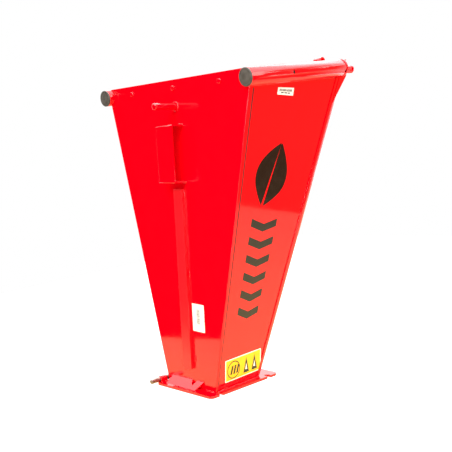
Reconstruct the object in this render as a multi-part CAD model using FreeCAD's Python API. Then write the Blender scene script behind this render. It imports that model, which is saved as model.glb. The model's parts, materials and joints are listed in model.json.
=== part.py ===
# Feed hopper of a petrol wood chipper, standing on its base flange.
# Millimetres, +Z up. The origin is the centre of the throat on the underside of the base plate.
# The front wall, with the switch bracket, faces -Y. The side panels face +X and -X.
import FreeCAD, Part
import math
import os

Vector = FreeCAD.Vector

# Hopper shell
sheet = 2.0                # wall sheet
throat_width = 182.0       # outside of the walls at the foot, along X
throat_depth = 160.0       # outside of the walls at the foot, along Y
mouth_width = 550.0        # outside of the side panels at the front rim
rim_height = 778.0         # front rim above the ground
mouth_depth = 365.0        # front rim to back rim, along Y
mouth_rise = 21.9          # back rim above the front rim
front_set = 21.0           # how far the front wall leans back between foot and rim
flange_rim = 13.0          # width of the front corner flanges at the rim
flange_foot = 4.0          # width of the front corner flanges at the foot
flange_back = 4.0          # width of the back wall's laps over the side panels
bend_radius = 3.0          # outside radius of the front corner bends
back_bend_foot = 12.0      # outside radius of the back corner bends, at the foot
back_bend_rim = 48.0       # the same, at the rim
panel_gap = 0.3            # side panel's edge to the inside of the bend
opening_ledge = 0.5        # how far the plate shows inside the walls

# Base plate
plate_thick = 6.0
plate_side = 17.0          # foot of the walls to the plate's edge, at each side
plate_front = 30.0         # the same, in front
plate_back = 46.0          # the same, at the back
plate_corner = 12.0
slot_width = 12.5
slot_reach = 9.0           # open slot, from the edge to its round end's centre
slot_inset = 33.5          # plate's front or back edge to the slot's middle

# Rim tubes and their caps
tube_outer = 42.4
tube_wall = 2.0
tube_front_overhang = 13.5
tube_back_set = 46.0       # back wall's plane to the tube's back end
notch_inset = 10.0         # the walls' top edges end this far inside the tubes' axes
tube_hole = 9.0
side_hole_from_front = 122.0
top_hole_from_front = 94.0
back_hole_from_back = 50.0
back_hole_dip = 25.0       # degrees below the level of the tube's axis
cap_flange = 2.5
cap_shank = 16.0
cap_wall = 2.4
cap_fit = 0.05
cap_edge_round = 0.9

# Pivot spigots that close the back ends of the rim tubes
spigot_diameter = 22.0
spigot_length = 38.0
spigot_drop = 5.0          # below the tube's axis
spigot_round = 5.0
spigot_hole = 8.0
spigot_hole_from_end = 9.0
spigot_clear = 1.5
disc_thick = 4.0
disc_round = 1.0

# Gussets and hinge knuckles of the back rim
gusset_thick = 4.0
gusset_proud = 1.0         # outside of the side panel's plane
gusset_start = 6.0         # side panel's back edge to the gusset
gusset_reach = 30.0        # side panel's back edge to the gusset's back corner
gusset_drop = 84.0         # from the tube's axis level down the bend
rim_knuckle_outer = 20.0
rim_knuckle_bore = 10.2
rim_knuckle_length = 24.0
rim_knuckle_inset = 114.0  # side panel's plane to the middle of the knuckle
rim_knuckle_back = 4.0
rim_knuckle_lift = 6.0

# Base hinge
pin_diameter = 12.0
pin_fit = 0.08
pin_head_diameter = 14.0
pin_head_thick = 4.0
pin_nose = 29.0            # how far the pin stands out of the front knuckle
pin_end_round = 2.5
end_play = 0.4
knuckle_outer = 16.0
knuckle_lift = 7.5         # plate to the hinge axis
knuckle_length = 20.0
knuckle_edge = 8.0         # hinge axis to the plate's edge
knuckle_inset = 6.0        # end of each knuckle to the plate's front or back edge

# Switch bracket, cable channel and cable post on the front wall
bracket_width = 62.0
bracket_height = 140.0
bracket_depth = 38.0
bracket_sheet = 3.0
bracket_bend = 2.0
bracket_below_rim = 112.0
channel_width = 32.0
channel_depth = 8.0
channel_sheet = 1.5
channel_gap = 17.0         # bracket to the channel's top
channel_foot = 44.0        # channel's lower end above the wall's foot
channel_lean = 0.6         # degrees
channel_shift = 1.5
channel_end_cut = 6.0      # the lower end is cut to a shallow point this deep
post_diameter = 17.0
post_length = 70.0
post_below_rim = 66.0
post_side = 6.0
post_end_round = 4.0

# Slanted hood over the front foot
hood_thick = 3.0
hood_reach = 17.0          # wall to the hood's lower edge, on the plate
hood_rise = 18.0           # plate to the hood's upper edge, on the wall
hood_left_foot = 80.0
hood_left_top = 70.0
hood_right_foot = 34.0
hood_right_top = 49.0
notch_centre = 15.0
notch_half = 11.0
notch_depth = 0.65         # share of the slant

# Rubber curtain inside the front wall
rubber = 4.0
flap_count = 3
flap_gap = 6.0
curtain_gap = 12.0         # curtain to the side panels, at the foot of the flaps
flap_length = 230.0
head_height = 30.0
hinge_gap = 0.4            # round top of a flap to the clamped head
clamp_thick = 3.0
clamp_height = 25.0
clamp_end = 6.0            # the clamp bar is this much shorter at each end
screw_below_rim = 20.5
screw_pitch = 168.0
screw_diameter = 6.0
screw_hole = 6.5
screw_head = 12.5
screw_head_thick = 3.6
screw_head_round = 2.0
screw_spare = 3.0
washer_outer = 12.5
washer_thick = 1.6
nut_flats = 10.0
nut_thick = 5.0
thread_fit = 0.03

overcut = 5.0              # cutting bodies pass the face they open by this much
far = 2000.0               # larger than the whole hopper


def plane(point, normal):
    unit = Vector(normal)
    unit.normalize()
    return unit, unit.dot(point)


def inward(face, distance):
    return face[0], face[1] - distance


def flipped(face):
    return face[0] * -1.0, -face[1]


def meet(a, b, c):
    cross_bc = b[0].cross(c[0])
    cross_ca = c[0].cross(a[0])
    cross_ab = a[0].cross(b[0])
    total = cross_bc * a[1] + cross_ca * b[1] + cross_ab * c[1]
    return total * (1.0 / a[0].dot(cross_bc))


def between(front, back, left, right, bottom, top):
    # Solid bounded by six planes whose normals point outwards.
    corner = {}
    for i, x_face in enumerate((left, right)):
        for j, y_face in enumerate((front, back)):
            for k, z_face in enumerate((bottom, top)):
                corner[i, j, k] = meet(x_face, y_face, z_face)
    loops = []
    for side in (0, 1):
        loops.append([(side, 0, 0), (side, 1, 0), (side, 1, 1), (side, 0, 1)])
        loops.append([(0, side, 0), (1, side, 0), (1, side, 1), (0, side, 1)])
        loops.append([(0, 0, side), (1, 0, side), (1, 1, side), (0, 1, side)])
    centre = (corner[0, 0, 0] + corner[1, 1, 1]) * 0.5
    faces = []
    for loop in loops:
        points = [corner[key] for key in loop]
        if (points[1] - points[0]).cross(points[2] - points[1]).dot(points[0] - centre) < 0:
            points.reverse()
        faces.append(Part.Face(Part.makePolygon(points + points[:1])))
    return Part.Solid(Part.Shell(faces))


def box(x0, x1, y0, y1, z0, z1):
    return Part.makeBox(x1 - x0, y1 - y0, z1 - z0, Vector(x0, y0, z0))


def prism(points, sweep):
    return Part.Face(Part.makePolygon(points + points[:1])).extrude(sweep)


def rod(diameter, start, end):
    run = end - start
    return Part.makeCylinder(diameter / 2.0, run.Length, start, run)


def joined(solids):
    return solids[0].multiFuse(solids[1:]).removeSplitter()


wall_height = rim_height - plate_thick
foot_front_y = -throat_depth / 2.0
foot_back_y = throat_depth / 2.0
rim_front_y = foot_front_y + front_set
rim_back_y = rim_front_y + mouth_depth
rim_back_z = rim_height + mouth_rise
side_run = (mouth_width - throat_width) / 2.0

front_face = plane(Vector(0, foot_front_y, plate_thick), Vector(0, -wall_height, front_set))
back_face = plane(
    Vector(0, foot_back_y, plate_thick),
    Vector(0, rim_back_z - plate_thick, foot_back_y - rim_back_y),
)
right_face = plane(Vector(throat_width / 2.0, 0, plate_thick), Vector(wall_height, 0, -side_run))
left_face = plane(Vector(-throat_width / 2.0, 0, plate_thick), Vector(-wall_height, 0, -side_run))
foot_face = plane(Vector(0, 0, plate_thick), Vector(0, 0, -1))
rim_face = plane(Vector(0, rim_front_y, rim_height), Vector(0, -mouth_rise, mouth_depth))
side_faces = {-1: left_face, 1: right_face}

# Where the back corner bends begin on the side panels
bend_foot_y = foot_back_y - back_bend_foot - panel_gap
bend_rim_y = rim_back_y - back_bend_rim - panel_gap
bend_line_face = plane(
    Vector(0, bend_foot_y, plate_thick), Vector(0, rim_back_z - plate_thick, bend_foot_y - bend_rim_y)
)

# The front wall's own frame: X, up the wall from its foot, and out of the wall.
wall_slant = math.hypot(wall_height, front_set)
wall_up = Vector(0, front_set / wall_slant, wall_height / wall_slant)
wall_out = front_face[0]
wall_foot = Vector(0, foot_front_y, plate_thick)


def on_front(x, up, out):
    return wall_foot + Vector(x, 0, 0) + wall_up * up + wall_out * out


def wall_box(x0, x1, up0, up1, out0, out1):
    outline = [
        on_front(x0, up0, out0),
        on_front(x1, up0, out0),
        on_front(x1, up1, out0),
        on_front(x0, up1, out0),
    ]
    return prism(outline, wall_out * (out1 - out0))


# Rim tubes: the axis of each lies in the plane of its side panel, just under the rim plane.
tube_radius = tube_outer / 2.0
tube_level = inward(rim_face, tube_radius)


def tube_line(side):
    start = meet(side_faces[side], tube_level, front_face)
    end = meet(side_faces[side], tube_level, back_face)
    along = end - start
    along.normalize()
    return start, end, along


def tube_body(side, diameter, extra):
    start, end, along = tube_line(side)
    return rod(
        diameter,
        start - along * (tube_front_overhang + extra),
        end - along * (tube_back_set - extra),
    )


def corner_notch(side):
    # Room for the tube and its spigot, and for everything above that would end in a thin sliver.
    start, end, along = tube_line(side)
    outside = box(0, far, -far, far, 0, far)
    if side < 0:
        outside = box(-far, 0, -far, far, 0, far)
    slope = math.degrees(math.atan2(mouth_rise, mouth_depth))
    outside.rotate(Vector(0, 0, 0), Vector(1, 0, 0), slope)
    outside.translate(start - Vector(side * notch_inset, 0, 0))
    room = spigot_diameter + 2.0 * spigot_clear
    return tube_body(side, tube_outer, overcut).fuse(outside).fuse(spigot_body(side, room, far))


def rim_tube(side):
    start, end, along = tube_line(side)
    outward = Vector(side, 0, 0)
    upward = along.cross(outward) * side
    if upward.z < 0:
        upward = upward * -1.0
    tube = tube_body(side, tube_outer, 0.0).cut(tube_body(side, tube_outer - 2.0 * tube_wall, overcut))
    dip = math.radians(back_hole_dip)
    drillings = (
        (start + along * side_hole_from_front, outward),
        (start + along * top_hole_from_front, upward),
        (end - along * back_hole_from_back, outward * math.cos(dip) - upward * math.sin(dip)),
    )
    for centre, towards in drillings:
        tube = tube.cut(rod(tube_hole, centre, centre + towards * tube_outer))
    return tube


def spigot_body(side, diameter, length):
    start, end, along = tube_line(side)
    seat = end - along * (tube_back_set - disc_thick) - Vector(0, 0, spigot_drop)
    return rod(diameter, seat, seat + along * length)


def rim_pivot(side):
    # Disc welded on the tube's back end, with a cross-drilled spigot standing out of it.
    start, end, along = tube_line(side)
    seat = end - along * tube_back_set
    face = seat + along * disc_thick
    disc = rod(tube_outer, seat, face)
    disc = disc.makeFillet(disc_round, [e for e in disc.Edges if is_circle_at(e, face)])
    root = face - Vector(0, 0, spigot_drop)
    tip = root + along * spigot_length
    spigot = spigot_body(side, spigot_diameter, spigot_length)
    spigot = spigot.makeFillet(spigot_round, [e for e in spigot.Edges if is_circle_at(e, tip)])
    hole = tip - along * spigot_hole_from_end
    reach = Vector(spigot_diameter, 0, 0)
    return joined([disc, spigot]).cut(rod(spigot_hole, hole - reach, hole + reach))


def rim_cap(side):
    start, end, along = tube_line(side)
    seat = start - along * tube_front_overhang
    out = along * -1.0
    face = seat + out * cap_flange
    flange = rod(tube_outer, seat, face)
    rounded = [e for e in flange.Edges if e.Length > tube_outer and is_circle_at(e, face)]
    flange = flange.makeFillet(cap_edge_round, rounded)
    shank_outer = tube_outer - 2.0 * tube_wall - 2.0 * cap_fit
    shank = rod(shank_outer, seat - out * cap_shank, seat)
    hollow = rod(shank_outer - 2.0 * cap_wall, seat - out * (cap_shank + overcut), seat - out * cap_wall)
    return joined([flange, shank.cut(hollow)])


def is_circle_at(edge, centre):
    return hasattr(edge.Curve, "Center") and (edge.Curve.Center - centre).Length < sheet / 10.0


# Shell of the hopper: level sections with round corners, drawn out between foot and rim
def bend_at(z):
    share = (z - plate_thick) / (rim_back_z - plate_thick)
    return back_bend_foot + (back_bend_rim - back_bend_foot) * share


def corner_arc(corner, x_sign, y_sign, radius):
    centre = corner - Vector(x_sign * radius, y_sign * radius, 0)
    diagonal = radius / math.sqrt(2.0)
    ends = [centre + Vector(x_sign * radius, 0, 0), centre + Vector(0, y_sign * radius, 0)]
    if x_sign * y_sign < 0:
        ends.reverse()
    return ends[0], centre + Vector(x_sign * diagonal, y_sign * diagonal, 0), ends[1]


def section(offset, z):
    level = plane(Vector(0, 0, z), Vector(0, 0, 1))
    arcs = []
    for x_sign, y_sign in ((1, -1), (1, 1), (-1, 1), (-1, -1)):
        y_face = front_face if y_sign < 0 else back_face
        radius = (bend_radius if y_sign < 0 else bend_at(z)) - offset
        corner = meet(inward(side_faces[x_sign], offset), inward(y_face, offset), level)
        arcs.append(corner_arc(corner, x_sign, y_sign, radius))
    edges = []
    for arc, following in zip(arcs, arcs[1:] + arcs[:1]):
        edges.append(Part.Arc(*arc).toShape())
        edges.append(Part.makeLine(arc[2], following[0]))
    return Part.Wire(edges)


def above_rim(extra):
    space = box(-far, far, -far, far, 0, far)
    space.rotate(Vector(0, 0, 0), Vector(1, 0, 0), math.degrees(math.atan2(mouth_rise, mouth_depth)))
    space.translate(Vector(0, rim_front_y, rim_height) + rim_face[0] * extra)
    return space


def hopper_block(offset, extra):
    foot = section(offset, plate_thick - extra)
    top = section(offset, rim_back_z + 2.0 * overcut)
    return Part.makeLoft([foot, top], True, True).cut(above_rim(extra))


def wall_zone(y_foot, y_rim, towards):
    # Everything on one side of the slanted line where a wall's corner flanges end.
    slope = (y_rim - y_foot) / wall_height
    low = y_foot - slope * far
    high = y_foot + slope * far
    outline = [
        Vector(-far, low, plate_thick - far),
        Vector(-far, high, plate_thick + far),
        Vector(-far, towards * far * 2.0, plate_thick + far),
        Vector(-far, towards * far * 2.0, plate_thick - far),
    ]
    return prism(outline, Vector(2.0 * far, 0, 0))


def shell_wall(zone):
    skin = hopper_block(0.0, 0.0).cut(hopper_block(sheet, overcut))
    wall = skin.common(zone)
    for side in side_faces:
        wall = wall.cut(corner_notch(side))
    return wall


def front_wall():
    zone = wall_zone(foot_front_y + flange_foot, rim_front_y + flange_rim, -1.0)
    wall = shell_wall(zone)
    for x in screw_places():
        wall = wall.cut(rod(screw_hole, on_front(x, screw_up, overcut), on_front(x, screw_up, -overcut)))
    return wall


def back_wall():
    rim_y = bend_foot_y + (bend_rim_y - bend_foot_y) * wall_height / (rim_back_z - plate_thick)
    return shell_wall(wall_zone(bend_foot_y - flange_back, rim_y - flange_back, 1.0))


def side_panel(side):
    outer = inward(side_faces[side], sheet)
    inner = flipped(inward(side_faces[side], 2.0 * sheet))
    left, right = (inner, outer) if side > 0 else (outer, inner)
    edge = bend_radius + panel_gap
    panel = between(
        inward(front_face, edge), bend_line_face, left, right, foot_face, tube_level
    )
    return panel.cut(tube_body(side, tube_outer, overcut))


def rear_gusset(side):
    # Triangle in the side panel's plane, between the corner bend and the underside of the spigot.
    face = inward(side_faces[side], -gusset_proud)
    behind = inward(bend_line_face, -gusset_start)
    low = meet(face, inward(tube_level, gusset_drop), behind)
    root = meet(face, tube_level, behind)
    outer = meet(face, tube_level, inward(bend_line_face, -gusset_reach))
    corner = meet(face, inward(tube_level, spigot_diameter), inward(bend_line_face, -gusset_reach))
    plate = prism([low, root, outer, corner], side_faces[side][0] * -gusset_thick)
    clear = [
        hopper_block(0.0, overcut),
        tube_body(side, tube_outer, disc_thick),
        spigot_body(side, spigot_diameter, far),
    ]
    for solid in clear:
        plate = plate.cut(solid)
    return largest(plate)


def largest(shape):
    return max(shape.Solids, key=lambda solid: solid.Volume)


def rim_knuckle(side, wall):
    middle = side * (mouth_width / 2.0 - rim_knuckle_inset)
    y = rim_back_y + rim_knuckle_back
    z = rim_back_z + rim_knuckle_lift
    half = Vector(rim_knuckle_length / 2.0, 0, 0)
    centre = Vector(middle, y, z)
    barrel = rod(rim_knuckle_outer, centre - half, centre + half)
    barrel = barrel.cut(rod(rim_knuckle_bore, centre - half * 2.0, centre + half * 2.0))
    return barrel.cut(wall)


# Base plate and its hinge
plate_half = throat_width / 2.0 + plate_side
front_edge_y = foot_front_y - plate_front
back_edge_y = foot_back_y + plate_back
hinge_x = -plate_half + knuckle_edge
hinge_z = plate_thick + knuckle_lift
front_knuckle_y = front_edge_y + knuckle_inset
back_knuckle_y = back_edge_y - knuckle_inset - knuckle_length


def upright_edges(solid):
    found = []
    for edge in solid.Edges:
        ends = [vertex.Point for vertex in edge.Vertexes]
        if len(ends) == 2 and (ends[1] - ends[0]).cross(Vector(0, 0, 1)).Length < sheet / 100.0:
            found.append(edge)
    return found


def base_plate():
    plate = box(-plate_half, plate_half, front_edge_y, back_edge_y, 0, plate_thick)
    plate = plate.makeFillet(plate_corner, upright_edges(plate))
    open_x = throat_width / 2.0 - 2.0 * sheet - opening_ledge
    open_y = throat_depth / 2.0 - sheet - opening_ledge
    opening = box(-open_x, open_x, -open_y, open_y, -overcut, plate_thick + overcut)
    edges = upright_edges(opening)
    opening = opening.makeFillet(bend_radius, [e for e in edges if e.CenterOfMass.y < 0])
    edges = [e for e in upright_edges(opening) if e.CenterOfMass.y > open_y - sheet]
    opening = opening.makeFillet(back_bend_foot - sheet, edges)
    plate = plate.cut(opening)
    for y in (front_edge_y + slot_inset, back_edge_y - slot_inset):
        x = plate_half - slot_reach
        round_end = rod(slot_width, Vector(x, y, -overcut), Vector(x, y, plate_thick + overcut))
        mouth = box(x, plate_half + overcut, y - slot_width / 2.0, y + slot_width / 2.0,
                    -overcut, plate_thick + overcut)
        plate = plate.cut(round_end.fuse(mouth))
    return plate


def base_knuckle(y):
    start = Vector(hinge_x, y, hinge_z)
    end = Vector(hinge_x, y + knuckle_length, hinge_z)
    half = knuckle_outer / 2.0
    foot = box(hinge_x - half, hinge_x + half, y, y + knuckle_length, plate_thick, hinge_z)
    past = Vector(0, overcut, 0)
    knuckle = joined([rod(knuckle_outer, start, end), foot])
    knuckle = knuckle.cut(rod(pin_diameter + 2.0 * pin_fit, start - past, end + past))
    return knuckle.cut(box(-far, far, -far, far, -far, plate_thick))


def hinge_pin():
    tip = Vector(hinge_x, front_knuckle_y - pin_nose, hinge_z)
    seat = Vector(hinge_x, back_knuckle_y + knuckle_length + end_play, hinge_z)
    shank = rod(pin_diameter, tip, seat)
    shank = shank.makeFillet(pin_end_round, [e for e in shank.Edges if is_circle_at(e, tip)])
    top = seat + Vector(0, pin_head_thick, 0)
    head = rod(pin_head_diameter, seat, top)
    head = head.makeFillet(pin_end_round / 2.0, [e for e in head.Edges if is_circle_at(e, top)])
    return joined([shank, head])


# Fittings on the front wall
bracket_top = wall_slant - bracket_below_rim
bracket_foot = bracket_top - bracket_height
channel_top = bracket_foot - channel_gap


def switch_bracket():
    half = bracket_width / 2.0
    outer = wall_box(-half, half, bracket_foot, bracket_top, 0, bracket_depth)
    front_edges = []
    for edge in outer.Edges:
        ends = [vertex.Point for vertex in edge.Vertexes]
        out = [wall_out.dot(p - wall_foot) for p in ends]
        if min(out) > bracket_depth - sheet / 10.0 and abs(ends[0].x - ends[1].x) > half:
            front_edges.append(edge)
    outer = outer.makeFillet(bracket_bend, front_edges)
    inner = wall_box(-half - overcut, half + overcut, bracket_foot + bracket_sheet,
                     bracket_top - bracket_sheet, -overcut, bracket_depth - bracket_sheet)
    return outer.cut(inner)


def cable_channel():
    half = channel_width / 2.0
    inside = half - channel_sheet
    outer = wall_box(-half, half, channel_foot, channel_top, 0, channel_depth)
    inner = wall_box(-inside, inside, channel_foot - overcut, channel_top + overcut,
                     -overcut, channel_depth - channel_sheet)
    channel = outer.cut(inner)
    for side in (-1, 1):
        wedge = [
            on_front(0, channel_foot, -overcut),
            on_front(side * (half + overcut), channel_foot, -overcut),
            on_front(side * (half + overcut), channel_foot + channel_end_cut, -overcut),
        ]
        channel = channel.cut(prism(wedge, wall_out * (channel_depth + 2.0 * overcut)))
    channel.rotate(on_front(0, channel_top, 0), wall_out, -channel_lean)
    channel.translate(Vector(channel_shift, 0, 0))
    return channel


def cable_post():
    up = wall_slant - post_below_rim
    tip = on_front(post_side, up, post_length)
    post = rod(post_diameter, on_front(post_side, up, 0), tip)
    return post.makeFillet(post_end_round, [e for e in post.Edges if is_circle_at(e, tip)])


def foot_hood():
    low = Vector(0, foot_front_y - hood_reach, plate_thick)
    high = on_front(0, hood_rise, 0)
    rise = high - low
    slant = rise.Length
    rise.normalize()
    across = Vector(1, 0, 0)
    normal = across.cross(rise)
    reach = hood_thick
    shape = [
        (-hood_left_foot, -reach),
        (hood_right_foot, -reach),
        (hood_right_foot, 0),
        (hood_right_top, slant),
        (hood_right_top, slant + reach),
        (notch_centre + notch_half, slant + reach),
        (notch_centre, slant * (1.0 - notch_depth)),
        (notch_centre - notch_half, slant + reach),
        (-hood_left_top, slant + reach),
        (-hood_left_foot, 0),
    ]
    back = normal * (-hood_thick / 2.0)
    outline = [low + across * u + rise * v + back for u, v in shape]
    hood = prism(outline, normal * hood_thick)
    ground = box(-far, far, -far, far, -far, plate_thick)
    behind = wall_box(-far, far, -far / 2.0, far, -far, 0)
    return hood.cut(ground).cut(behind)


# Rubber curtain: one head strip under the clamp bar and flaps that swing below it
screw_up = wall_slant - screw_below_rim
head_top = screw_up + head_height / 2.0
head_foot = screw_up - head_height / 2.0
hinge_point = on_front(0, head_foot - rubber / 2.0 - hinge_gap, -sheet - rubber / 2.0 - hinge_gap)
flap_foot_face = plane(Vector(0, 0, hinge_point.z - flap_length), Vector(0, 0, 1))
curtain_half = meet(inward(right_face, 2.0 * sheet), front_face, flap_foot_face).x - curtain_gap
flap_width = (2.0 * curtain_half - (flap_count - 1) * flap_gap) / flap_count


def screw_places():
    return [(i - (flap_count - 1) / 2.0) * screw_pitch for i in range(flap_count)]


def flap_places():
    return [(i - (flap_count - 1) / 2.0) * (flap_width + flap_gap) for i in range(flap_count)]


def drilled(solid):
    for x in screw_places():
        solid = solid.cut(rod(screw_hole, on_front(x, screw_up, overcut), on_front(x, screw_up, -far)))
    return solid


def curtain_head():
    return drilled(wall_box(-curtain_half, curtain_half, head_foot, head_top, -sheet - rubber, -sheet))


def curtain_clamp():
    half = curtain_half - clamp_end
    back = -sheet - rubber
    return drilled(wall_box(-half, half, screw_up - clamp_height / 2.0, screw_up + clamp_height / 2.0,
                            back - clamp_thick, back))


def curtain_flap(x):
    half = flap_width / 2.0
    y = hinge_point.y
    z = hinge_point.z
    flap = box(x - half, x + half, y - rubber / 2.0, y + rubber / 2.0, z - flap_length, z)
    bead = rod(rubber, Vector(x - half, y, z), Vector(x + half, y, z))
    return joined([flap, bead])


clamp_back = -sheet - rubber - clamp_thick
washer_back = clamp_back - washer_thick
nut_back = washer_back - nut_thick


def curtain_screws():
    screws = []
    for x in screw_places():
        seat = on_front(x, screw_up, 0)
        face = on_front(x, screw_up, screw_head_thick)
        head = rod(screw_head, seat, face)
        head = head.makeFillet(screw_head_round, [e for e in head.Edges if is_circle_at(e, face)])
        shank = rod(screw_diameter, on_front(x, screw_up, nut_back - screw_spare), seat)
        screws.append(joined([head, shank]))
    return Part.makeCompound(screws)


def curtain_washers():
    washers = []
    for x in screw_places():
        ring = rod(washer_outer, on_front(x, screw_up, washer_back), on_front(x, screw_up, clamp_back))
        hole = rod(screw_hole, on_front(x, screw_up, nut_back), on_front(x, screw_up, 0))
        washers.append(ring.cut(hole))
    return Part.makeCompound(washers)


def curtain_nuts():
    nuts = []
    corner = nut_flats / math.sqrt(3.0)
    for x in screw_places():
        middle = on_front(x, screw_up, nut_back)
        outline = []
        for i in range(6):
            turn = math.radians(60.0 * i)
            outline.append(middle + Vector(corner * math.cos(turn), 0, 0) + wall_up * (corner * math.sin(turn)))
        nut = prism(outline, wall_out * nut_thick)
        bore = rod(screw_diameter + 2.0 * thread_fit, on_front(x, screw_up, nut_back - overcut),
                   on_front(x, screw_up, 0))
        nuts.append(nut.cut(bore))
    return Part.makeCompound(nuts)


def build():
    parts = {"front_wall": front_wall(), "back_wall": back_wall()}
    for side, name in ((-1, "left"), (1, "right")):
        parts["side_panel_" + name] = side_panel(side)
        parts["rim_tube_" + name] = rim_tube(side)
        parts["rim_cap_" + name] = rim_cap(side)
        parts["rim_pivot_" + name] = rim_pivot(side)
        parts["rear_gusset_" + name] = rear_gusset(side)
        parts["rim_knuckle_" + name] = rim_knuckle(side, parts["back_wall"])
    parts["base_plate"] = base_plate()
    parts["base_knuckle_front"] = base_knuckle(front_knuckle_y)
    parts["base_knuckle_back"] = base_knuckle(back_knuckle_y)
    parts["hinge_pin"] = hinge_pin()
    parts["foot_hood"] = foot_hood()
    parts["switch_bracket"] = switch_bracket()
    parts["cable_channel"] = cable_channel()
    parts["cable_post"] = cable_post()
    parts["curtain_head"] = curtain_head()
    parts["curtain_clamp"] = curtain_clamp()
    for x, name in zip(flap_places(), ("left", "middle", "right")):
        parts["curtain_flap_" + name] = curtain_flap(x)
    parts["curtain_screws"] = curtain_screws()
    parts["curtain_washers"] = curtain_washers()
    parts["curtain_nuts"] = curtain_nuts()
    return parts


os.makedirs("parts", exist_ok=True)
for node, shape in build().items():
    shape.exportStep("parts/" + node + ".step")
    bounds = shape.BoundBox
    print(node, len(shape.Solids), shape.isValid(), round(shape.Volume / 1000.0, 2),
          [round(v, 1) for v in (bounds.XMin, bounds.XMax, bounds.YMin, bounds.YMax, bounds.ZMin, bounds.ZMax)])
print("curtain hinge", [round(v, 3) for v in hinge_point], "base hinge", hinge_x, hinge_z)
for side in (1,):
    start, end, along = tube_line(side)
    print("tube", [round(v, 3) for v in start], [round(v, 3) for v in end], [round(v, 5) for v in along])
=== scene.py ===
import json
import math
import random

import bmesh
import bpy
from mathutils import Matrix, Vector, noise


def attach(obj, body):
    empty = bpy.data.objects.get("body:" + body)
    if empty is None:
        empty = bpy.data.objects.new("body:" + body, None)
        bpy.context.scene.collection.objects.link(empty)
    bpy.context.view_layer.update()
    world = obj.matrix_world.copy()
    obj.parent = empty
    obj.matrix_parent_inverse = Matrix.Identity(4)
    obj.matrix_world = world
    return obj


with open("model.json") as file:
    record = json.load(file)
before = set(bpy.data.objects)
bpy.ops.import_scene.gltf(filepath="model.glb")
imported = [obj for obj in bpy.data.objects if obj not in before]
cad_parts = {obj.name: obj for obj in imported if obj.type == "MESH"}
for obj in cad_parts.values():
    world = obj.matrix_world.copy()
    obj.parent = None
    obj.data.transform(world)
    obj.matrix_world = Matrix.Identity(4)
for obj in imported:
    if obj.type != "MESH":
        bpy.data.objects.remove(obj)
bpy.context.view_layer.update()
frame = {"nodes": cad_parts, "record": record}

nodes = frame["nodes"]
random.seed(11)


def outerPlane(name, towards):
    # the flat outer face of a CAD piece: its unit normal and its distance from the origin
    towards = Vector(towards).normalized()
    mesh = nodes[name].data
    best = {}
    for poly in mesh.polygons:
        if poly.normal.dot(towards) > 0.9:
            key = round(poly.normal.dot(poly.center), 4)
            face = (poly.area, poly.normal.copy(), poly.normal.dot(poly.center))
            best.setdefault(key, []).append(face)
    found = max(best.values(), key=lambda faces: sum(area for area, _, _ in faces))
    area = sum(item[0] for item in found)
    normal = sum((item[1] * item[0] for item in found), Vector()) / area
    return normal.normalized(), sum(item[2] * item[0] for item in found) / area


frontNormal, frontDistance = outerPlane("front_wall", (0, -1, 0))
sideNormal, sideDistance = outerPlane("side_panel_right", (1, 0, -0.2))


def onFront(x, z, lift=0.0):
    # a point on the front wall at that x and z, lifted off it
    y = (frontDistance - frontNormal.x * x - frontNormal.z * z) / frontNormal.y
    return Vector((x, y, z)) + frontNormal * lift


def onSide(y, z, lift=0.0):
    # a point on the right side panel at that y and z, lifted off it
    x = (sideDistance - sideNormal.y * y - sideNormal.z * z) / sideNormal.x
    return Vector((x, y, z)) + sideNormal * lift


def linear(code):
    # an sRGB hex colour as linear red, green, blue, alpha
    parts = [int(code[i:i + 2], 16) / 255.0 for i in (0, 2, 4)]
    shares = [c / 12.92 if c <= 0.04045 else ((c + 0.055) / 1.055) ** 2.4 for c in parts]
    return tuple(shares) + (1.0,)


def addNode(tree, kind, settings=None, links=None):
    # one node, with its settings (properties or sockets) and the sockets that feed it
    node = tree.nodes.new(kind)
    for key, value in (settings or {}).items():
        if isinstance(key, str) and hasattr(node, key):
            setattr(node, key, value)
        else:
            node.inputs[key].default_value = value
    for key, source in (links or {}).items():
        tree.links.new(source, node.inputs[key])
    return node


def newMaterial(name):
    material = bpy.data.materials.new(name)
    material.use_nodes = True
    tree = material.node_tree
    tree.nodes.clear()
    shader = addNode(tree, "ShaderNodeBsdfPrincipled")
    addNode(tree, "ShaderNodeOutputMaterial", links={"Surface": shader.outputs[0]})
    place = addNode(tree, "ShaderNodeTexCoord").outputs["Object"]
    return material, tree, shader, place


def noiseField(tree, place, size, detail=2.0):
    # soft random values whose blotches are about that many metres across
    settings = {"Scale": 1 / size, "Detail": detail}
    return addNode(tree, "ShaderNodeTexNoise", settings, {"Vector": place}).outputs[0]


def feed(tree, shader, colour, rough, normal):
    # the three sockets that every finish here drives
    tree.links.new(colour, shader.inputs["Base Color"])
    tree.links.new(rough, shader.inputs["Roughness"])
    tree.links.new(normal, shader.inputs["Normal"])


def mixColours(tree, factor, first, second):
    mix = addNode(tree, "ShaderNodeMix", {"data_type": "RGBA"}, {"Factor": factor})
    for socket, value in ((6, first), (7, second)):
        if isinstance(value, str):
            mix.inputs[socket].default_value = linear(value)
        else:
            tree.links.new(value, mix.inputs[socket])
    return mix.outputs[2]


def spread(tree, value, low, high, start=0.0, end=1.0):
    # a 0 to 1 value stretched between start and end, then laid out from low to high
    settings = {"From Min": start, "From Max": end, "To Min": low, "To Max": high}
    return addNode(tree, "ShaderNodeMapRange", settings, {"Value": value}).outputs[0]


def bumped(tree, height, depth, below=None):
    links = {"Height": height}
    if below is not None:
        links["Normal"] = below
    return addNode(tree, "ShaderNodeBump", {"Strength": 1.0, "Distance": depth}, links).outputs[0]


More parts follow.
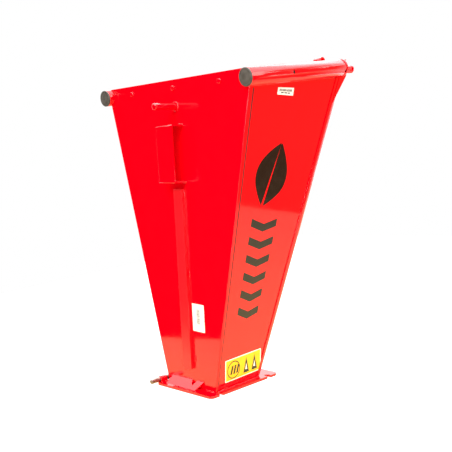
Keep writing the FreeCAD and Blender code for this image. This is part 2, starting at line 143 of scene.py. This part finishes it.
redPaint = {
    "colour": "ee0013", "deep": "e20011", "shine": 0.05, "dull": 0.1, "weldedShine": 0.3,
    "peelSize": 0.0025, "peelDepth": 0.000008, "waveSize": 0.16, "waveDepth": 0.00025,
    "cloudSize": 0.12, "hazeSize": 0.035, "dustSize": 0.0012, "dustShare": 0.035, "dustRise": 0.00012,
}
# refraction of paint, plastic and rubber, and of vinyl
commonIor = 1.5
vinylIor = 1.48


def makeRedPaint(name, shine):
    # gloss enamel on steel sheet: a wet, slightly wavy reflection, faint orange peel, dust nibs
    p = redPaint
    material, tree, shader, place = newMaterial(name)
    shader.inputs["IOR"].default_value = commonIor
    colour = mixColours(tree, noiseField(tree, place, p["cloudSize"], 3.0), p["colour"], p["deep"])
    haze = noiseField(tree, place, p["hazeSize"], 4.0)
    rough = spread(tree, haze, shine, shine + p["dull"] - p["shine"], 0.35, 0.8)
    waves = bumped(tree, noiseField(tree, place, p["waveSize"], 0.0), p["waveDepth"])
    peel = bumped(tree, noiseField(tree, place, p["peelSize"], 1.0), p["peelDepth"], waves)
    cells = addNode(tree, "ShaderNodeTexVoronoi", {"Scale": 1 / (p["dustSize"] * 9)}, {"Vector": place})
    nibs = spread(tree, cells.outputs["Distance"], 1.0, 0.0, 0.0, p["dustShare"])
    feed(tree, shader, colour, rough, bumped(tree, nibs, p["dustRise"], peel))
    return material


capGrey = {"colour": "3f3932", "worn": "524c45", "rubSize": 0.012, "grainSize": 0.0008, "grainDepth": 0.00006}


def makeCapPlastic():
    # moulded polyethylene: fine grain, soft sheen, slightly paler where it has been rubbed
    p = capGrey
    material, tree, shader, place = newMaterial("capPolyethylene")
    shader.inputs["IOR"].default_value = commonIor
    rub = noiseField(tree, place, p["rubSize"], 4.0)
    colour = mixColours(tree, spread(tree, rub, 0.0, 1.0, 0.4, 0.7), p["colour"], p["worn"])
    grain = bumped(tree, noiseField(tree, place, p["grainSize"], 2.0), p["grainDepth"])
    feed(tree, shader, colour, spread(tree, rub, 0.42, 0.6), grain)
    return material


drawnLines = {"patchSize": 0.01, "depth": 0.00004, "spread": 0.2}


def makeSteel(name, pale, dark, rough, lineSize, across):
    # drawn steel: bright metal with fine lines running one way and darker handled patches
    p = drawnLines
    material, tree, shader, place = newMaterial(name)
    shader.inputs["Metallic"].default_value = 1.0
    handled = spread(tree, noiseField(tree, place, p["patchSize"], 5.0), 0.0, 1.0, 0.35, 0.75)
    stretched = addNode(tree, "ShaderNodeMapping", {"Scale": across}, {"Vector": place}).outputs[0]
    lines = noiseField(tree, stretched, lineSize, 2.0)
    shades = spread(tree, lines, rough, rough + p["spread"], 0.3, 0.7)
    feed(tree, shader, mixColours(tree, handled, pale, dark), shades, bumped(tree, lines, p["depth"]))
    return material


zinc = {"pale": "b9bcc0", "dark": "9fa3a8", "crystal": 0.006, "grain": 0.0008, "depth": 0.00002}


def makeZinc():
    # bright zinc plating: grey-blue crystals with small changes of shine from one to the next
    p = zinc
    material, tree, shader, place = newMaterial("zincPlate")
    shader.inputs["Metallic"].default_value = 1.0
    cells = addNode(tree, "ShaderNodeTexVoronoi", {"Scale": 1 / p["crystal"]}, {"Vector": place})
    grey = addNode(tree, "ShaderNodeSeparateColor", links={"Color": cells.outputs["Color"]}).outputs[0]
    grain = bumped(tree, noiseField(tree, place, p["grain"], 2.0), p["depth"])
    feed(tree, shader, mixColours(tree, grey, p["dark"], p["pale"]), spread(tree, grey, 0.28, 0.45), grain)
    return material


rubberSheet = {"colour": "131313", "dust": "4a443c", "dustSize": 0.05, "weave": 0.012, "depth": 0.00005}


def makeRubber():
    # cloth-backed sheet rubber: near black, matt, its weave showing through, pale wood dust
    p = rubberSheet
    material, tree, shader, place = newMaterial("sheetRubber")
    shader.inputs["IOR"].default_value = commonIor
    dust = noiseField(tree, place, p["dustSize"], 6.0)
    colour = mixColours(tree, spread(tree, dust, 0.0, 0.5, 0.5, 0.8), p["colour"], p["dust"])
    threads = []
    for way in ("X", "Z"):
        settings = {"bands_direction": way, "Scale": 1 / p["weave"]}
        threads.append(addNode(tree, "ShaderNodeTexWave", settings, {"Vector": place}).outputs[1])
    weave = addNode(tree, "ShaderNodeMath", {"operation": "ADD"}, {0: threads[0], 1: threads[1]}).outputs[0]
    feed(tree, shader, colour, spread(tree, dust, 0.55, 0.85), bumped(tree, weave, p["depth"]))
    return material


filmFace = {"grimeSize": 0.02, "bubbleSize": 0.004, "bubbleRise": 0.00002, "spread": 0.15}


def makeVinyl(name, code, worn, rough):
    # printed self-adhesive film: even colour, satin face, a trace of grime, tiny bubbles
    p = filmFace
    material, tree, shader, place = newMaterial(name)
    shader.inputs["IOR"].default_value = vinylIor
    grime = noiseField(tree, place, p["grimeSize"], 5.0)
    colour = mixColours(tree, spread(tree, grime, 0.0, 1.0, 0.5, 0.8), code, worn)
    bubbles = bumped(tree, noiseField(tree, place, p["bubbleSize"], 1.0), p["bubbleRise"])
    feed(tree, shader, colour, spread(tree, grime, rough, rough + p["spread"]), bubbles)
    return material


redEnamel = makeRedPaint("redEnamel", redPaint["shine"])
weldedEnamel = makeRedPaint("weldedEnamel", redPaint["weldedShine"])
capPlastic = makeCapPlastic()
pinSteel = makeSteel("drawnSteel", "9c8b83", "5e4d47", 0.26, 0.0012, (1.0, 0.06, 1.0))
zincPlate = makeZinc()
sheetRubber = makeRubber()
blackVinyl = makeVinyl("blackVinyl", "140d0b", "201815", 0.1)
whiteVinyl = makeVinyl("whiteVinyl", "f3efe6", "dcd6ca", 0.35)
yellowVinyl = makeVinyl("yellowVinyl", "eab602", "dcaa04", 0.3)
greyInk = makeVinyl("greyInk", "5c5a56", "6e6b66", 0.5)
# near black: bare mill scale, darkened as painted shade for the unlit inside of the tubes
millScaleAndShade = makeVinyl("millScaleAndShade", "120d0b", "2a1a12", 0.6)
# dark red: painted shadow in the gap beside the front sheet's flange
seamShade = makeVinyl("seamShade", "3a0206", "520309", 0.5)

slots = {entry["node"]: entry["material_slot"] for entry in frame["record"]["subparts"]}
bySlot = {
    "red_paint": redEnamel, "cap_plastic": capPlastic, "bright_steel": pinSteel,
    "zinc_steel": zincPlate, "black_rubber": sheetRubber,
}
# the channel's paint is duller than the sheets'
weldedOn = ("cable_channel",)
# eased edges, metres: those not named here get the plain width
plainEdge = 0.0004
edgeWidth = {
    "switch_bracket": 0.0008, "cable_post": 0.0008, "rim_cap_left": 0.0006,
    "rim_cap_right": 0.0006, "base_plate": 0.0008, "foot_hood": 0.0007,
}


def dress(name):
    # the paint or finish of a CAD piece, its edges eased as a press or a coat of paint leaves them
    mesh = nodes[name].data
    mesh.materials.clear()
    mesh.materials.append(weldedEnamel if name in weldedOn else bySlot[slots[name]])
    weld = nodes[name].modifiers.new("weld", "WELD")
    weld.merge_threshold = 0.00001
    edge = nodes[name].modifiers.new("edge", "BEVEL")
    edge.width = edgeWidth.get(name, plainEdge)
    edge.segments = 2
    edge.limit_method = "ANGLE"
    edge.angle_limit = math.radians(40)
    edge.harden_normals = True


for name in nodes:
    dress(name)
print("materials on the CAD pieces")


# the rim's fittings come in pairs: the side's sign along X and its tag
bothSides = ((1, "right"), (-1, "left"))


def circle(steps, closed=False):
    # cosine and sine at even steps of a turn, with the first one again at the end if closed
    turns = [2 * math.pi * k / steps for k in range(steps + closed)]
    return [(math.cos(turn), math.sin(turn)) for turn in turns]


def tubeFaces(ringCount, size, start=0):
    # the quads that join each ring of points to the next
    faces = []
    for i in range(ringCount - 1):
        for k in range(size):
            a = start + i * size + k
            b = start + i * size + (k + 1) % size
            faces.append((a, b, b + size, a + size))
    return faces


def newPiece(name, points, faces, material):
    mesh = bpy.data.meshes.new(name)
    mesh.from_pydata([tuple(p) for p in points], [], faces)
    bm = bmesh.new()
    bm.from_mesh(mesh)
    bmesh.ops.recalc_face_normals(bm, faces=bm.faces)
    bm.to_mesh(mesh)
    bm.free()
    mesh.materials.append(material)
    for poly in mesh.polygons:
        poly.use_smooth = True
    obj = bpy.data.objects.new(name, mesh)
    bpy.context.scene.collection.objects.link(obj)
    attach(obj, "hopper")
    return obj


# the length and depth of a bead's scales, how far its size wanders, and how thin its ends are
weldLook = {
    "pitch": 0.0034, "ripple": 0.22, "sides": 10, "wander": 0.15, "wanderScale": 240, "endShare": 0.35,
    "skew": (0.13, 0.21, 0.97),
}


def beadRings(path, radius, closed=False):
    # rings of a rippled bead along a path: the little scales a welder leaves
    w = weldLook
    length = sum((b - a).length for a, b in zip(path, path[1:]))
    count = max(int(length / (w["pitch"] / 4)), 6)
    places = []
    for i in range(count + 1):
        goal = length * i / count
        walked = 0.0
        for a, b in zip(path, path[1:]):
            step = (b - a).length
            if walked + step >= goal - 1e-9:
                places.append((a.lerp(b, (goal - walked) / step), (b - a).normalized(), goal))
                break
            walked += step
    rings = []
    for spot, along, goal in places:
        side = along.cross(Vector(w["skew"])).normalized()
        up = side.cross(along)
        scale = 1 - w["ripple"] * abs(math.sin(math.pi * goal / w["pitch"]))
        scale *= 1 + w["wander"] * noise.noise(spot * w["wanderScale"])
        if not closed:
            fromEnd = min(goal, length - goal) / (radius * 2)
            scale *= min(1.0, w["endShare"] + fromEnd)
        rings.append([spot + (side * x + up * y) * radius * scale for x, y in circle(w["sides"])])
    return rings


def weldBeads(name, paths, radius, closed=False):
    # several beads as one piece, painted over with the hopper
    points, faces = [], []
    for path in paths:
        rings = beadRings(path, radius, closed)
        start = len(points)
        size = weldLook["sides"]
        for ring in rings:
            points.extend(ring)
        faces.extend(tubeFaces(len(rings), size, start))
        if not closed:
            faces.append(tuple(range(start, start + size)))
            faces.append(tuple(range(len(points) - size, len(points))))
    return newPiece(name, points, faces, redEnamel)


# the right rim tube's axis between the planes of the front and back walls, as the CAD has it;
# front is how far the tube stands out ahead of the front wall's plane
tubeLine = {
    "start": Vector((0.26993, -0.059579, 0.756727)), "end": Vector((0.27507, 0.299849, 0.778293)),
    "front": 0.0135,
}


def tubePoint(side, along, out, down):
    # a place beside a rim tube's axis: from its start, out of the side panel, down the panel
    run = (tubeLine["end"] - tubeLine["start"]).normalized()
    normal = Vector(sideNormal)
    below = normal.cross(run)
    if below.z > 0:
        below = -below
    p = tubeLine["start"] + run * along + normal * out + below * down
    return Vector((p.x * side, p.y, p.z))


def tubeRing(side, along, radius, steps, closed=False, drop=0.0):
    return [tubePoint(side, along, radius * x, drop + radius * y) for x, y in circle(steps, closed)]


# metres along the tube: the seam with the side panel, the disc's edge and the spigot's root
tubeWelds = {
    "seamStops": (0.004, 0.1, 0.2, 0.296), "seamDrop": 0.0212, "seamBead": 0.0017,
    "discAt": 0.3140, "discRadius": 0.0209, "discBead": 0.0013,
    "spigotAt": 0.3188, "spigotRadius": 0.0112, "spigotDrop": 0.005, "spigotBead": 0.0012,
}


def addTubeWelds():
    w = tubeWelds
    for side, tag in bothSides:
        seam = [tubePoint(side, s, -0.0002, w["seamDrop"]) for s in w["seamStops"]]
        weldBeads("tubeSeam." + tag, [seam], w["seamBead"])
        ring = tubeRing(side, w["discAt"], w["discRadius"], 32, True)
        weldBeads("discSeam." + tag, [ring], w["discBead"], closed=True)
        ring = tubeRing(side, w["spigotAt"], w["spigotRadius"], 24, True, w["spigotDrop"])
        weldBeads("spigotSeam." + tag, [ring], w["spigotBead"], closed=True)


# two beads under each hinge barrel of the back rim
rimWelds = {"from": 0.1505, "to": 0.1715, "y": (0.3002, 0.3132), "z": 0.8004, "bead": 0.0018}


def addRimWelds():
    w = rimWelds
    for side, tag in bothSides:
        paths = [[Vector((side * x, y, w["z"])) for x in (w["from"], w["to"])] for y in w["y"]]
        weldBeads("knuckleSeam." + tag, paths, w["bead"])


# places on the front wall, as x and z: lift is how far a bead's middle stands off the wall
frontWelds = {
    "bracketTop": 0.6679, "topBeads": ((-0.029, -0.012), (0.012, 0.030)),
    "bracketFoot": 0.5246, "footBeads": ((0.017, 0.031), (-0.028, -0.013)),
    "bracketLift": 0.0008, "bracketBead": 0.0022,
    "stitches": (
        ((0.0182, 0.482), (0.0186, 0.500)), ((0.0196, 0.287), (0.0200, 0.305)),
        ((0.0215, 0.072), (0.0219, 0.090)), ((-0.0138, 0.266), (-0.0142, 0.282)),
    ),
    "stitchLift": 0.0006, "stitchBead": 0.0028,
    "post": (0.006, 0.7118), "collarRadius": 0.0102, "collarLift": 0.0012, "collarBead": 0.0027,
}


def addFrontWelds():
    # beads round the switch bracket, stitches beside the cable channel, the collar of the post
    w = frontWelds
    paths = []
    for z, spans in ((w["bracketTop"], w["topBeads"]), (w["bracketFoot"], w["footBeads"])):
        for span in spans:
            paths.append([onFront(x, z, w["bracketLift"]) for x in span])
    weldBeads("bracketSeam", paths, w["bracketBead"])
    stitches = [[onFront(x, z, w["stitchLift"]) for x, z in ends] for ends in w["stitches"]]
    weldBeads("channelStitch", stitches, w["stitchBead"])
    (x0, z0), radius = w["post"], w["collarRadius"]
    collar = [onFront(x0 + radius * x, z0 + radius * y, w["collarLift"]) for x, y in circle(24, True)]
    weldBeads("postCollar", [collar], w["collarBead"], closed=True)


# seams at the foot of the walls, on the base plate
baseWelds = {
    "z": 0.0062, "sideX": 0.0917, "sideY": (-0.074, 0.0, 0.066), "endY": 0.0806,
    "backX": (-0.078, 0.0, 0.078), "frontX": (0.053, 0.070, 0.086), "bead": 0.0019,
    "hoodZ": 0.0262, "hoodX": ((-0.069, 0.003), (0.027, 0.048)), "hoodLift": 0.0006, "hoodBead": 0.0013,
    "knuckleX": -0.0922, "knuckleY": ((-0.103, -0.085), (0.101, 0.119)), "knuckleBead": 0.0016,
}


def addBaseWelds():
    w = baseWelds
    paths = [[Vector((x, y, w["z"])) for y in w["sideY"]] for x in (w["sideX"], -w["sideX"])]
    for y, stops in ((w["endY"], w["backX"]), (-w["endY"], w["frontX"])):
        paths.append([Vector((x, y, w["z"])) for x in stops])
    weldBeads("baseSeam", paths, w["bead"])
    paths = [[onFront(x, w["hoodZ"], w["hoodLift"]) for x in span] for span in w["hoodX"]]
    weldBeads("hoodSeam", paths, w["hoodBead"])
    paths = [[Vector((w["knuckleX"], y, w["z"])) for y in span] for span in w["knuckleY"]]
    weldBeads("knuckleFoot", paths, w["knuckleBead"])


addTubeWelds()
addRimWelds()
addFrontWelds()
addBaseWelds()
print("weld beads")

liner = {"radius": 0.0190, "steps": 40, "stops": (0.006, 0.1, 0.2, 0.311)}


def addTubeLiners():
    # the tubes are bare mill scale inside, made near black as painted shade for their unlit inside; that is
    # what shows through their holes
    for side, tag in bothSides:
        points = []
        for along in liner["stops"]:
            points.extend(tubeRing(side, along, liner["radius"], liner["steps"]))
        faces = tubeFaces(len(liner["stops"]), liner["steps"])
        newPiece("tubeScaleAndShade." + tag, points, faces, millScaleAndShade)


capDome = {"seat": 0.0025, "rise": 0.0016, "ring": 0.0188, "lip": 0.0007, "steps": 48}


def addCapDomes():
    # pressed-in caps: a shallow dome inside a raised lip, with the mould's gate mark in the middle
    c = capDome
    # radius and rise from the middle outwards: the gate mark, the dome, then the lip
    profile = [
        (0.0008, 0.0006), (0.0016, 0.0013), (0.0022, 0.0006),
        (0.006, c["rise"] * 0.92), (0.011, c["rise"] * 0.62), (0.0155, c["rise"] * 0.2),
        (c["ring"] - 0.0012, 0.0), (c["ring"] - 0.0004, c["lip"]),
        (c["ring"] + 0.0006, c["lip"]), (c["ring"] + 0.0012, 0.0),
    ]
    for side, tag in bothSides:
        points = []
        for radius, rise in profile:
            points.extend(tubeRing(side, -tubeLine["front"] - c["seat"] - rise, radius, c["steps"]))
        faces = tubeFaces(len(profile), c["steps"])
        faces.append(tuple(range(c["steps"])))
        newPiece("capDome." + tag, points, faces, capPlastic)


addTubeLiners()
addCapDomes()
print("tube liners and cap domes")


def onLeftSide(y, z, lift=0.0):
    p = onSide(y, z, lift)
    return Vector((-p.x, p.y, p.z))


# metres above the sheet and metres thick: the film itself, print on it, and a film on a film
onSheet = (0.0001, 0.00015)
onFilm = (0.00026, 0.00008)
printOnFilm = (0.00027, 0.00004)
printOnField = (0.00035, 0.00004)
printOnPrint = (0.0004, 0.00004)
inSeam = (0.00005, 0.0001)


def film(name, outline, place, height, material):
    # a thin film with that outline, laid on a sheet and a little proud of it
    lift, thick = height
    points = [place(u, v, height) for height in (lift, lift + thick) for u, v in outline]
    n = len(outline)
    bm = bmesh.new()
    verts = [bm.verts.new(p) for p in points]
    for k in range(n):
        bm.faces.new([verts[i] for i in (k, (k + 1) % n, n + (k + 1) % n, n + k)])
    lid = bm.faces.new(verts[n:])
    base = bm.faces.new(verts[:n][::-1])
    bmesh.ops.triangulate(bm, faces=[lid, base])
    bmesh.ops.recalc_face_normals(bm, faces=bm.faces)
    mesh = bpy.data.meshes.new(name)
    bm.to_mesh(mesh)
    bm.free()
    mesh.materials.append(material)
    obj = bpy.data.objects.new(name, mesh)
    bpy.context.scene.collection.objects.link(obj)
    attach(obj, "hopper")
    return obj


def roundedQuad(corners, radius, steps=4):
    # a four-sided outline with rounded corners
    outline = []
    for i, corner in enumerate(corners):
        here = Vector(corner)
        back = (Vector(corners[i - 1]) - here).normalized() * radius
        ahead = (Vector(corners[(i + 1) % 4]) - here).normalized() * radius
        for s in range(steps + 1):
            t = s / steps
            outline.append(tuple(here + back * (1 - t) ** 2 + ahead * t * t))
    return outline


def within(corners, u, v):
    # the point at shares u and v of a four-sided label, from its first corner
    a, b, c, d = (Vector(p) for p in corners)
    return tuple((a.lerp(b, u)).lerp(d.lerp(c, u), v))


def patch(corners, u0, u1, v0, v1):
    return [within(corners, u, v) for u, v in ((u0, v0), (u1, v0), (u1, v1), (u0, v1))]


def splinePoint(p, t):
    # a point on the smooth curve through four knots, between the second and the third
    return 0.5 * (2 * p[1] + (p[2] - p[0]) * t + (2 * p[0] - 5 * p[1] + 4 * p[2] - p[3]) * t * t
                  + (3 * p[1] - p[0] - 3 * p[2] + p[3]) * t * t * t)


# foot and tip as y and z on the side panel; shape is share of the height, share of the width
emblem = {
    "foot": (0.020, 0.458), "tip": (0.070, 0.604), "width": 0.052, "veinGap": 0.0045,
    "shape": ((0.0, 0.0), (0.12, 0.42), (0.3, 0.86), (0.48, 1.0), (0.66, 0.86), (0.84, 0.48), (1.0, 0.0)),
    "vein": (0.97, 0.75, 0.5, 0.25, 0.03), "steps": 6,
}


def addEmblem():
    # a plain leaf in two halves, parted by its midrib
    foot, tip = Vector(emblem["foot"]), Vector(emblem["tip"])
    up = tip - foot
    across = Vector((-up.y, up.x)).normalized()
    gap = emblem["veinGap"]
    for side, tag in ((1, "left"), (-1, "right")):
        inner = [foot + up * s + across * side * gap * (1 - s) * 0.8 for s in emblem["vein"]]
        outer = []
        for s, w in emblem["shape"]:
            outer.append(foot + up * s + across * side * (emblem["width"] * w + gap * 0.5))
        last = len(outer) - 1
        curve = []
        for i in range(last):
            knots = [outer[max(i - 1, 0)], outer[i], outer[i + 1], outer[min(i + 2, last)]]
            for k in range(emblem["steps"]):
                curve.append(splinePoint(knots, k / emblem["steps"]))
        outline = [tuple(q) for q in curve + [outer[-1]] + inner]
        film("leafEmblem." + tag, outline, onSide, onSheet, blackVinyl)


# a row from top to foot, as y and z on the side panel, growing narrower by the taper
chevrons = {
    "top": (0.034, 0.410), "foot": (0.008, 0.194), "count": 6, "half": 0.045, "taper": 0.2,
    "thick": 0.019, "sag": 0.013, "up": (0.12, 1.0),
}


def addChevrons():
    # a row of feed chevrons pointing down into the machine
    c = chevrons
    up = Vector(c["up"]).normalized()
    across = Vector((up.y, -up.x))
    for i in range(c["count"]):
        share = i / (c["count"] - 1)
        mid = Vector(c["top"]).lerp(Vector(c["foot"]), share)
        half = c["half"] * (1 - c["taper"] * share)
        outline = []
        for edge, corners in ((0.5, ((-1, 0), (0, -1), (1, 0))), (-0.5, ((1, 0), (0, -1), (-1, 0)))):
            for x, y in corners:
                rise = c["sag"] * y + c["thick"] * edge + c["sag"] * 0.5
                outline.append(tuple(mid + across * half * x + up * rise))
        film("feedChevron.%d" % i, outline, onSide, onSheet, blackVinyl)


# corners as x and z on the front wall, or y and z on the side panel
labels = {
    "part": ((0.021, 0.223), (0.065, 0.2215), (0.0645, 0.152), (0.020, 0.153)),
    "rim": ((0.0365, 0.7325), (0.0915, 0.7305), (0.0905, 0.7125), (0.0355, 0.7165)),
    "hazard": ((-0.055, 0.0815), (0.070, 0.0855), (0.0775, 0.0255), (-0.0485, 0.0215)),
}
# shares of a label's width and height
partBars = {"from": 0.36, "to": 0.62, "first": 0.2, "count": 13, "sizes": (0.014, 0.02, 0.028), "gap": 0.02}
rimBars = {"from": 0.22, "to": 0.52, "first": 0.1, "count": 14, "sizes": (0.022, 0.034, 0.044), "gap": 0.022}
rimDashes = {"spans": ((0.22, 0.38), (0.43, 0.62), (0.66, 0.78)), "from": 0.64, "to": 0.78}
hazard = {
    "field": (0.022, 0.978, 0.045, 0.955),
    "ring": (0.23, 0.52), "outer": (0.175, 0.4), "inner": (0.155, 0.355), "arcSteps": 18,
    "slashes": (0.135, 0.215, 0.295), "wedges": (0.5, 0.73),
    "slash": ((0, 0.72), (0.05, 0.72), (0.095, 0.34), (0.045, 0.34)),
    "wedge": ((0.0, 0.86), (0.16, 0.86), (0.08, 0.16)),
    "core": ((0.052, 0.72), (0.108, 0.72), (0.08, 0.42)),
}


def addPlainLabels():
    # a white part label with plain bars, and a small one under the rim
    film("partLabel", roundedQuad(labels["part"], 0.0012), onFront, onSheet, whiteVinyl)
    at = partBars["first"]
    for i in range(partBars["count"]):
        size = random.choice(partBars["sizes"])
        bar = patch(labels["part"], partBars["from"], partBars["to"], at, at + size)
        film("partBar.%02d" % i, bar, onFront, printOnFilm, greyInk)
        at += size + partBars["gap"]
    film("rimLabel", roundedQuad(labels["rim"], 0.001), onSide, onSheet, whiteVinyl)
    at = rimBars["first"]
    for i in range(rimBars["count"]):
        size = random.choice(rimBars["sizes"])
        bar = patch(labels["rim"], at, at + size, rimBars["from"], rimBars["to"])
        film("rimBar.%02d" % i, bar, onSide, printOnFilm, blackVinyl)
        at += size + rimBars["gap"]
    for i, (u0, u1) in enumerate(rimDashes["spans"]):
        dash = patch(labels["rim"], u0, u1, rimDashes["from"], rimDashes["to"])
        film("rimDash.%d" % i, dash, onSide, printOnFilm, blackVinyl)


def addHazardLabel():
    # a yellow field in a white border, with a ring of slashes and two wedges, and no pictures
    h = hazard
    plate = labels["hazard"]
    film("hazardBorder", roundedQuad(plate, 0.0025), onSide, onSheet, whiteVinyl)
    film("hazardField", roundedQuad(patch(plate, *h["field"]), 0.0015), onSide, onFilm, yellowVinyl)
    u, v = h["ring"]
    for tag, start in (("outer", 0.0), ("lower", 0.5)):
        turns = [2 * math.pi * (start + 0.5 * k / h["arcSteps"]) for k in range(h["arcSteps"] + 1)]
        arc = [(math.cos(turn), math.sin(turn)) for turn in turns]
        outline = []
        for (wide, tall), points in ((h["outer"], arc), (h["inner"], arc[::-1])):
            outline += [within(plate, u + wide * x, v + tall * y) for x, y in points]
        film("hazardRing." + tag, outline, onSide, printOnField, blackVinyl)
    marks = (
        ("hazardSlash", h["slashes"], h["slash"], printOnField, blackVinyl),
        ("hazardWedge", h["wedges"], h["wedge"], printOnField, blackVinyl),
        ("hazardCore", h["wedges"], h["core"], printOnPrint, whiteVinyl),
    )
    for name, places, shape, height, material in marks:
        for i, u in enumerate(places):
            outline = [within(plate, u + a, b) for a, b in shape]
            film("%s.%d" % (name, i), outline, onSide, height, material)


# the front edge of the painted seam shadow as y and z on the side panel, and its width
lapSeamShadow = {"foot": (-0.0757, 0.0075), "rim": (-0.0462, 0.7325), "width": 0.0042}


def addLapSeamShadows():
    # a dark strip where the front sheet's flange ends on each side panel: partly the gap itself, partly
    # painted shadow of the flange's step
    (y0, z0), (y1, z1) = lapSeamShadow["foot"], lapSeamShadow["rim"]
    wide = lapSeamShadow["width"]
    outline = [(y0, z0), (y0 + wide, z0), (y1 + wide, z1), (y1, z1)]
    film("lapSeamShadow.right", outline, onSide, inSeam, seamShade)
    film("lapSeamShadow.left", outline, onLeftSide, inSeam, seamShade)


addEmblem()
addChevrons()
addPlainLabels()
addHazardLabel()
addLapSeamShadows()
print("films")

# degrees for the angles, millimetres for the lens and the sensor, metres for the place
cameraPlace = {
    "azimuth": 47.233, "elevation": 6.285, "roll": 4.463, "lens": 63.39, "sensor": 36.0,
    "position": (1.5276, -1.3313, 0.6256),
}


def makeCamera():
    p = cameraPlace
    a, e, r = (math.radians(p[k]) for k in ("azimuth", "elevation", "roll"))
    back = Vector((math.sin(a) * math.cos(e), -math.cos(a) * math.cos(e), math.sin(e)))
    right = (-back).cross(Vector((0, 0, 1))).normalized()
    down = (-back).cross(right)
    x = right * math.cos(r) + down * math.sin(r)
    y = -(down * math.cos(r) - right * math.sin(r))
    data = bpy.data.cameras.new("camera")
    data.lens = p["lens"]
    data.sensor_width = p["sensor"]
    obj = bpy.data.objects.new("camera", data)
    turned = Matrix((x, y, back)).transposed().to_4x4()
    obj.matrix_world = Matrix.Translation(p["position"]) @ turned
    bpy.context.scene.collection.objects.link(obj)
    bpy.context.scene.camera = obj


makeCamera()

# the floor's outline as x and y; the glows are strengths near the foot and far from it
studio = {
    "floorEdge": (
        (-0.2, 2.6), (-2.0, 2.2), (-1.8, 0.24), (-0.55, -0.43), (-0.38, -0.52),
        (1.3, -1.41), (3.4, -2.5), (2.2, -1.45), (0.91, 0.75),
    ),
    "floorLevel": -0.0006, "backdropSide": (-0.73, 0.68, 0.0), "warmSide": (0.67, 0.74, 0.0),
    "floorSeen": 1.1, "nearGlow": 1.7, "farGlow": 0.75, "floorTint": "ffe688",
    "fill": 0.5, "front": 0.0, "backdrop": 2.6, "overhead": 5.0, "sideGlow": 0.55, "sideTint": "ffb478",
}


def makeFloor():
    # a sheet of pale paper, lit so that it looks pure white and glows in the gloss paint
    bm = bmesh.new()
    sheet = bm.faces.new([bm.verts.new((x, y, studio["floorLevel"])) for x, y in studio["floorEdge"]])
    sheet.normal_update()
    if sheet.normal.z < 0:
        sheet.normal_flip()
    bmesh.ops.triangulate(bm, faces=[sheet])
    mesh = bpy.data.meshes.new("floor")
    bm.to_mesh(mesh)
    bm.free()
    obj = bpy.data.objects.new("floor", mesh)
    bpy.context.scene.collection.objects.link(obj)
    material, tree, shader, place = newMaterial("whitePaper")
    fibre = noiseField(tree, place, 0.003, 3.0)
    tree.links.new(mixColours(tree, fibre, "8c8c8a", "949492"), shader.inputs["Base Color"])
    shader.inputs["Roughness"].default_value = 0.9
    reach = addNode(tree, "ShaderNodeVectorMath", {"operation": "LENGTH"}, {0: place})
    glow = spread(tree, reach.outputs["Value"], studio["nearGlow"], studio["farGlow"], 0.2, 1.1)
    ray = addNode(tree, "ShaderNodeLightPath").outputs["Is Camera Ray"]
    strength = addNode(tree, "ShaderNodeMix", {3: studio["floorSeen"]}, {0: ray, 2: glow}).outputs[0]
    tree.links.new(strength, shader.inputs["Emission Strength"])
    tree.links.new(mixColours(tree, ray, studio["floorTint"], "ffffff"), shader.inputs["Emission Color"])
    mesh.materials.append(material)


def facing(tree, place, way):
    # how far each direction of the sky points that way, from -1 to 1
    settings = {"operation": "DOT_PRODUCT", 1: way}
    return addNode(tree, "ShaderNodeVectorMath", settings, {0: place}).outputs["Value"]


def background(tree, code, strength):
    # one colour of sky; its strength is a number or a socket
    if isinstance(strength, float):
        settings = {"Color": linear(code), "Strength": strength}
        return addNode(tree, "ShaderNodeBackground", settings).outputs[0]
    settings = {"Color": linear(code)}
    return addNode(tree, "ShaderNodeBackground", settings, {"Strength": strength}).outputs[0]


def makeSky():
    # even fill for the paint's own colour; reflections see a white backdrop and lid, a dim front
    world = bpy.data.worlds.new("studio")
    world.use_nodes = True
    bpy.context.scene.world = world
    tree = world.node_tree
    tree.nodes.clear()
    place = addNode(tree, "ShaderNodeTexCoord").outputs["Generated"]
    behind = facing(tree, place, studio["backdropSide"])
    beside = facing(tree, place, studio["warmSide"])
    above = addNode(tree, "ShaderNodeSeparateXYZ", links={0: place}).outputs[2]
    glow = spread(tree, behind, studio["front"], studio["backdrop"], 0.3, 0.75)
    lid = spread(tree, above, 0.0, studio["overhead"], 0.4, 0.7)
    white = addNode(tree, "ShaderNodeMath", {"operation": "ADD"}, {0: glow, 1: lid}).outputs[0]
    room = background(tree, "ffffff", white)
    warm = background(tree, studio["sideTint"], spread(tree, beside, 0.0, studio["sideGlow"], 0.7, 0.95))
    mirrored = addNode(tree, "ShaderNodeAddShader", links={0: room, 1: warm}).outputs[0]
    fill = background(tree, "ffffff", studio["fill"])
    seen = background(tree, "ffffff", 1.0)
    ray = addNode(tree, "ShaderNodeLightPath").outputs
    links = {0: ray["Is Diffuse Ray"], 1: mirrored, 2: fill}
    light = addNode(tree, "ShaderNodeMixShader", links=links).outputs[0]
    links = {0: ray["Is Camera Ray"], 1: light, 2: seen}
    mix = addNode(tree, "ShaderNodeMixShader", links=links)
    addNode(tree, "ShaderNodeOutputWorld", links={"Surface": mix.outputs[0]})


def makeLamp(name, place, target, size, power, tint="ffffff"):
    data = bpy.data.lights.new(name, "AREA")
    data.shape = "RECTANGLE"
    data.size, data.size_y = size
    data.energy = power
    data.color = linear(tint)[:3]
    obj = bpy.data.objects.new(name, data)
    obj.location = place
    obj.rotation_euler = (Vector(target) - Vector(place)).to_track_quat("-Z", "Y").to_euler()
    bpy.context.scene.collection.objects.link(obj)


makeFloor()
makeSky()
makeLamp("keyLamp", (0.9, -2.0, 2.4), (0, 0, 0.4), (1.6, 1.2), 70)
makeLamp("sideLamp", (2.6, 0.6, 1.6), (0, 0, 0.4), (1.4, 1.4), 45, "fff0e6")
makeLamp("lowLamp", (2.5, -2.25, 0.15), (0, 0, 0.35), (1.3, 0.8), 38)
bpy.context.scene.view_settings.view_transform = "Standard"
print("camera, floor, sky and lamps")
